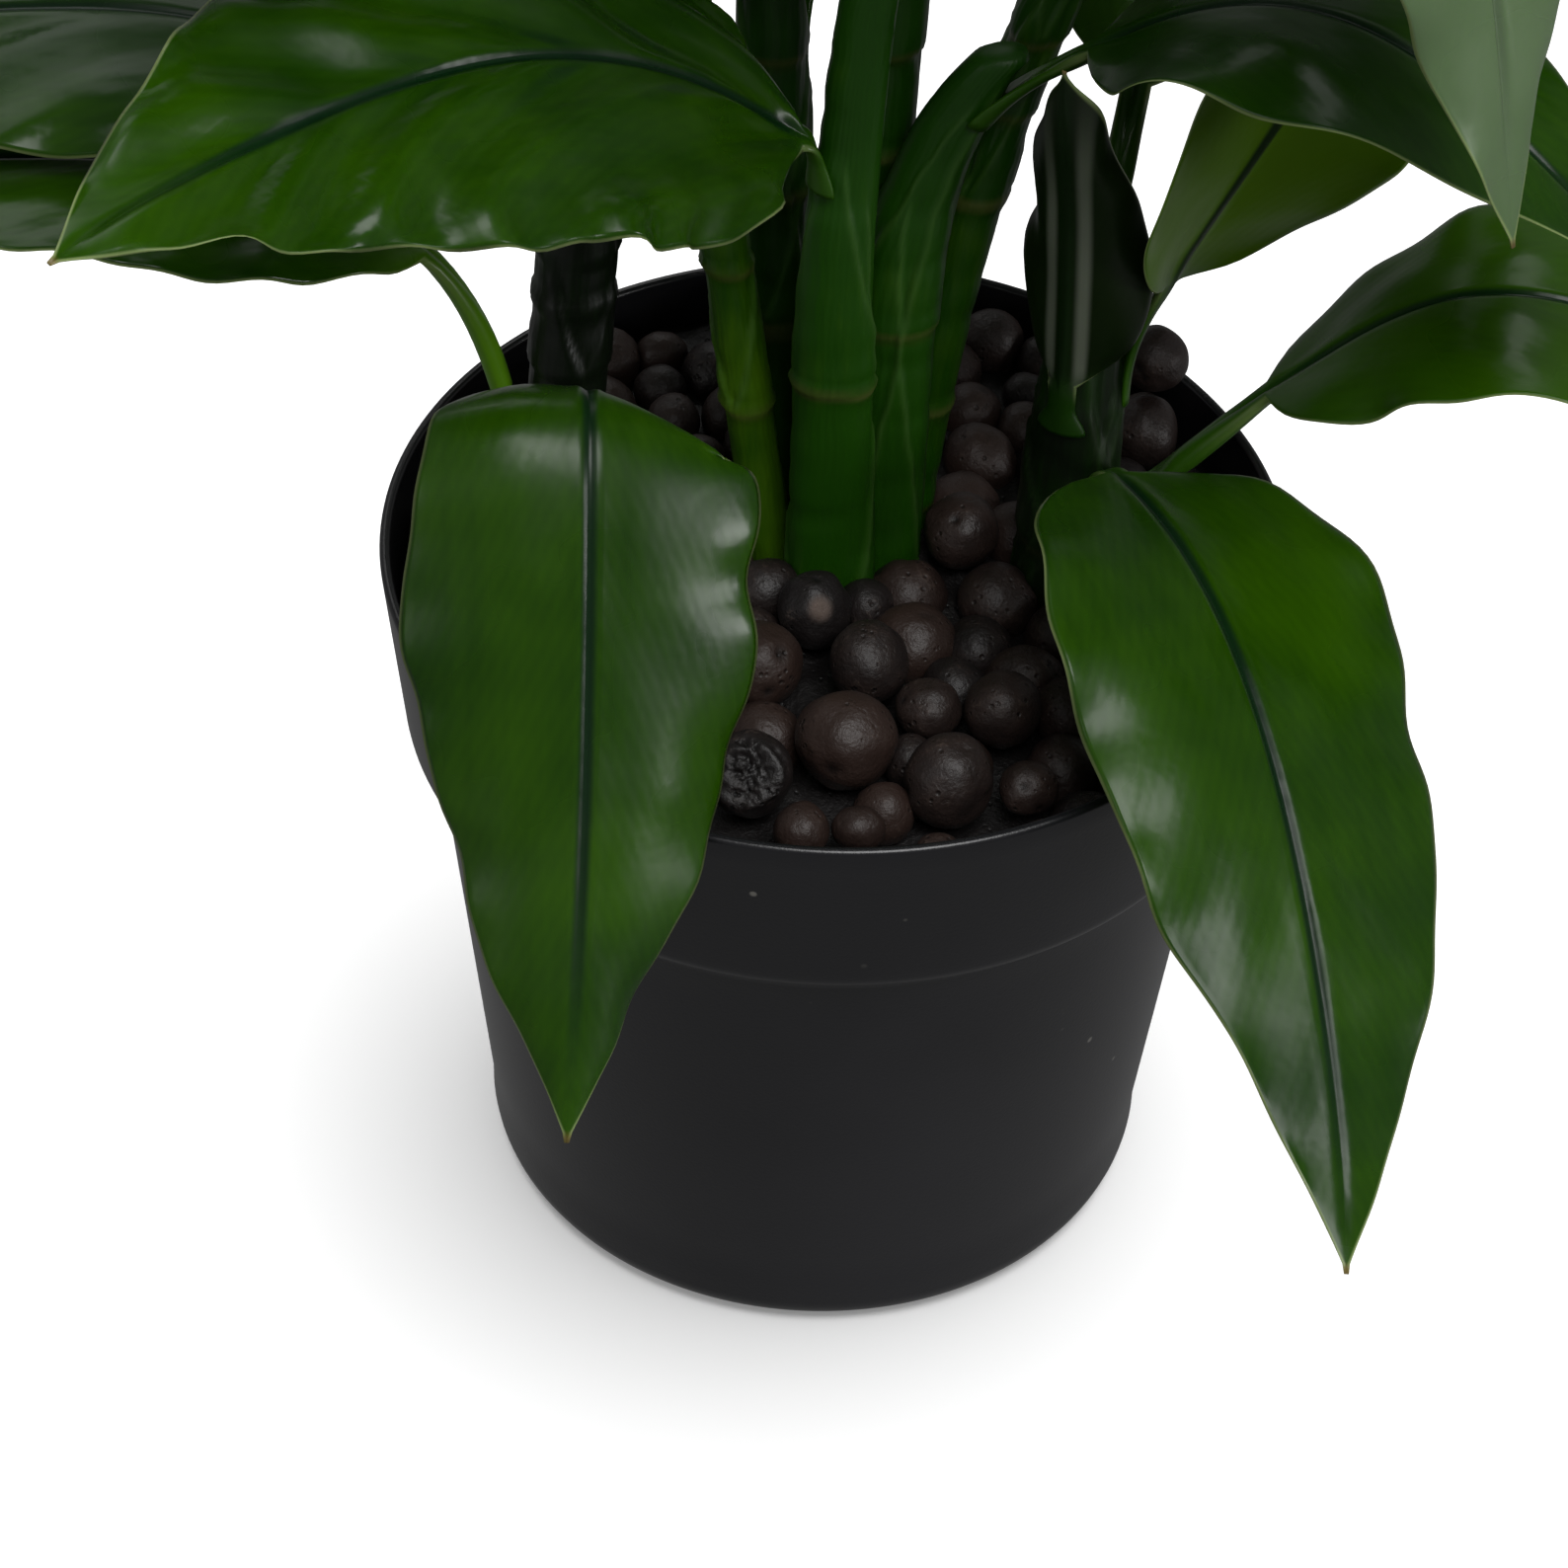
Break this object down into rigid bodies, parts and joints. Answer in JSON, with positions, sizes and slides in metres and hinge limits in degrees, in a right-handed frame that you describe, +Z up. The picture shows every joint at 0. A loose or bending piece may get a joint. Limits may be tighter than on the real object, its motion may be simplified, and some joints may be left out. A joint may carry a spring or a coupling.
{
  "type": "potted dracaena",
  "caption": "Broad-leaved potted plant: clasping leaves on slender green stems, standing in expanded clay pebbles in a round, shouldered black pot.",
  "frame": {"origin": "middle of the pot's flat underside", "axes": "+Z up along the pot's axis; the viewer looks along +Y, with +X to the right"},
  "size_m": [0.4767, 0.358, 0.5747],
  "materials": {
    "pot_plastic": "satin moulded, faint sheen",
    "growing_medium": "rough fibrous peat",
    "clay_pebble": "dull fired clay with fine pores",
    "stem": "smooth, slightly waxy",
    "leaf": "waxy, soft gloss"
  },
  "bodies": {
    "root": {"pot": "pot_plastic", "growing_medium": "growing_medium", "pebble_bed": "clay_pebble", "pebble_1": "clay_pebble", "pebble_2": "clay_pebble", "pebble_3": "clay_pebble", "pebble_4": "clay_pebble", "pebble_5": "clay_pebble", "pebble_6": "clay_pebble", "pebble_7": "clay_pebble", "pebble_8": "clay_pebble", "pebble_9": "clay_pebble", "pebble_10": "clay_pebble", "pebble_11": "clay_pebble", "pebble_12": "clay_pebble", "pebble_13": "clay_pebble", "pebble_14": "clay_pebble", "left_stem": "stem", "right_stem": "stem", "thin_stem": "stem", "back_stem": "stem", "front_stem": "stem", "leaning_stem": "stem", "tall_stem": "stem", "outer_stem": "stem", "front_left_leaf": "leaf", "left_leaf": "leaf", "far_left_leaf": "leaf", "left_back_leaf": "leaf", "left_crown_leaf": "leaf", "right_leaf": "leaf", "front_right_leaf": "leaf", "right_upper_leaf": "leaf", "right_upright_leaf": "leaf", "right_back_leaf": "leaf", "thin_crown_leaf": "leaf", "big_left_leaf": "leaf", "top_right_leaf": "leaf", "back_leaf_1": "leaf", "back_leaf_2": "leaf", "back_leaf_3": "leaf", "back_leaf_4": "leaf", "back_leaf_5": "leaf", "hanging_leaf": "leaf", "crown_leaf_1": "leaf", "crown_leaf_2": "leaf", "crown_leaf_3": "leaf", "crown_leaf_4": "leaf", "crown_leaf_5": "leaf", "crown_leaf_6": "leaf", "crown_leaf_7": "leaf", "outer_leaf_1": "leaf", "outer_leaf_2": "leaf", "outer_leaf_3": "leaf"}
  },
  "joints": []
}
